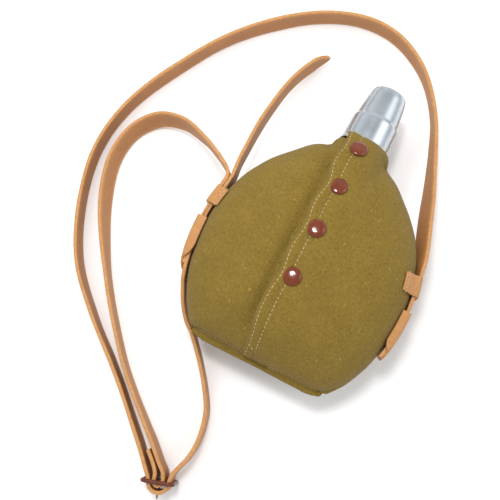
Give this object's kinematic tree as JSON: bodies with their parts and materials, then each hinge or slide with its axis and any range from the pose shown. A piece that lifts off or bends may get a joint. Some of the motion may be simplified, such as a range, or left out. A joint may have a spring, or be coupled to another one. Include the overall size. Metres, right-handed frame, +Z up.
{
  "type": "felt covered canteen with carrying strap",
  "caption": "Round aluminium canteen in an olive felt cover with a snap front flap, a slip-on drinking cup over a cork, and a long leather strap with a buckle.",
  "frame": {"origin": "on the surface it lies on, under the middle of the canteen's own box without the loose strap", "axes": "+Y from the bottom edge to the cup's closed end, +X to the canteen's right seen from the front, +Z up out of its front"},
  "size_m": [0.2819, 0.409, 0.0835],
  "materials": {
    "felt": "napped wool felt, olive",
    "leather": "undyed vegetable tanned, smooth",
    "aluminium": "satin spun",
    "enamel": "gloss brown enamel",
    "nickel": "plated",
    "buckle_metal": "dark brown lacquer",
    "cork": "natural cork"
  },
  "bodies": {
    "canteen": {"flask_body": "aluminium", "cover_back": "felt", "cover_front_left": "felt", "cover_front_right": "felt", "snap_stud_1": "nickel", "snap_post_1": "nickel", "snap_stud_2": "nickel", "snap_post_2": "nickel", "snap_stud_3": "nickel", "snap_post_3": "nickel", "snap_stud_4": "nickel", "snap_post_4": "nickel", "keeper_right": "leather", "keeper_left": "leather", "anchor_right": "leather", "anchor_left": "leather", "strap_right_end": "leather", "strap_left_end": "leather", "strap_tail_side": "leather", "strap_fold": "leather", "strap_bend": "leather", "strap_long": "leather", "strap_short": "leather", "strap_tail": "leather", "strap_tip": "leather", "strap_tail_low": "leather"},
    "cup": {"cup_cap": "aluminium"},
    "stopper": {"stopper_cork": "cork", "stopper_head": "aluminium"},
    "flap": {"cover_flap": "felt", "snap_cap_1": "enamel", "snap_cap_2": "enamel", "snap_cap_3": "enamel", "snap_cap_4": "enamel", "snap_socket_1": "nickel", "snap_socket_2": "nickel", "snap_socket_3": "nickel", "snap_socket_4": "nickel"},
    "buckle": {"buckle_frame": "buckle_metal", "buckle_bar": "buckle_metal"},
    "prong": {"buckle_prong": "buckle_metal"}
  },
  "joints": [
    {"name": "cup_lift", "type": "slide", "parent": "canteen", "child": "cup", "axis": [0, 1, 0], "range_m": [0, 0.1]},
    {"name": "stopper_pull", "type": "slide", "parent": "canteen", "child": "stopper", "axis": [0, 1, 0], "range_m": [0, 0.035]},
    {"name": "flap_open", "type": "hinge", "parent": "canteen", "child": "flap", "pos_m": [0.0097, -0.0323, 0.0682], "axis": [0, 1, 0], "range_deg": [0, 20]},
    {"name": "buckle_swing", "type": "hinge", "parent": "canteen", "child": "buckle", "pos_m": [-0.0244, -0.2186, 0.0128], "axis": [0, 0, 1], "range_deg": [-8, 2]},
    {"name": "prong_swing", "type": "hinge", "parent": "canteen", "child": "prong", "pos_m": [-0.0244, -0.2186, 0.0128], "axis": [0, 0, 1], "range_deg": [-5, 5]}
  ],
  "couplings": [
    {"joint": "stopper_pull", "follows": "cup_lift", "ratio": 0.35}
  ]
}
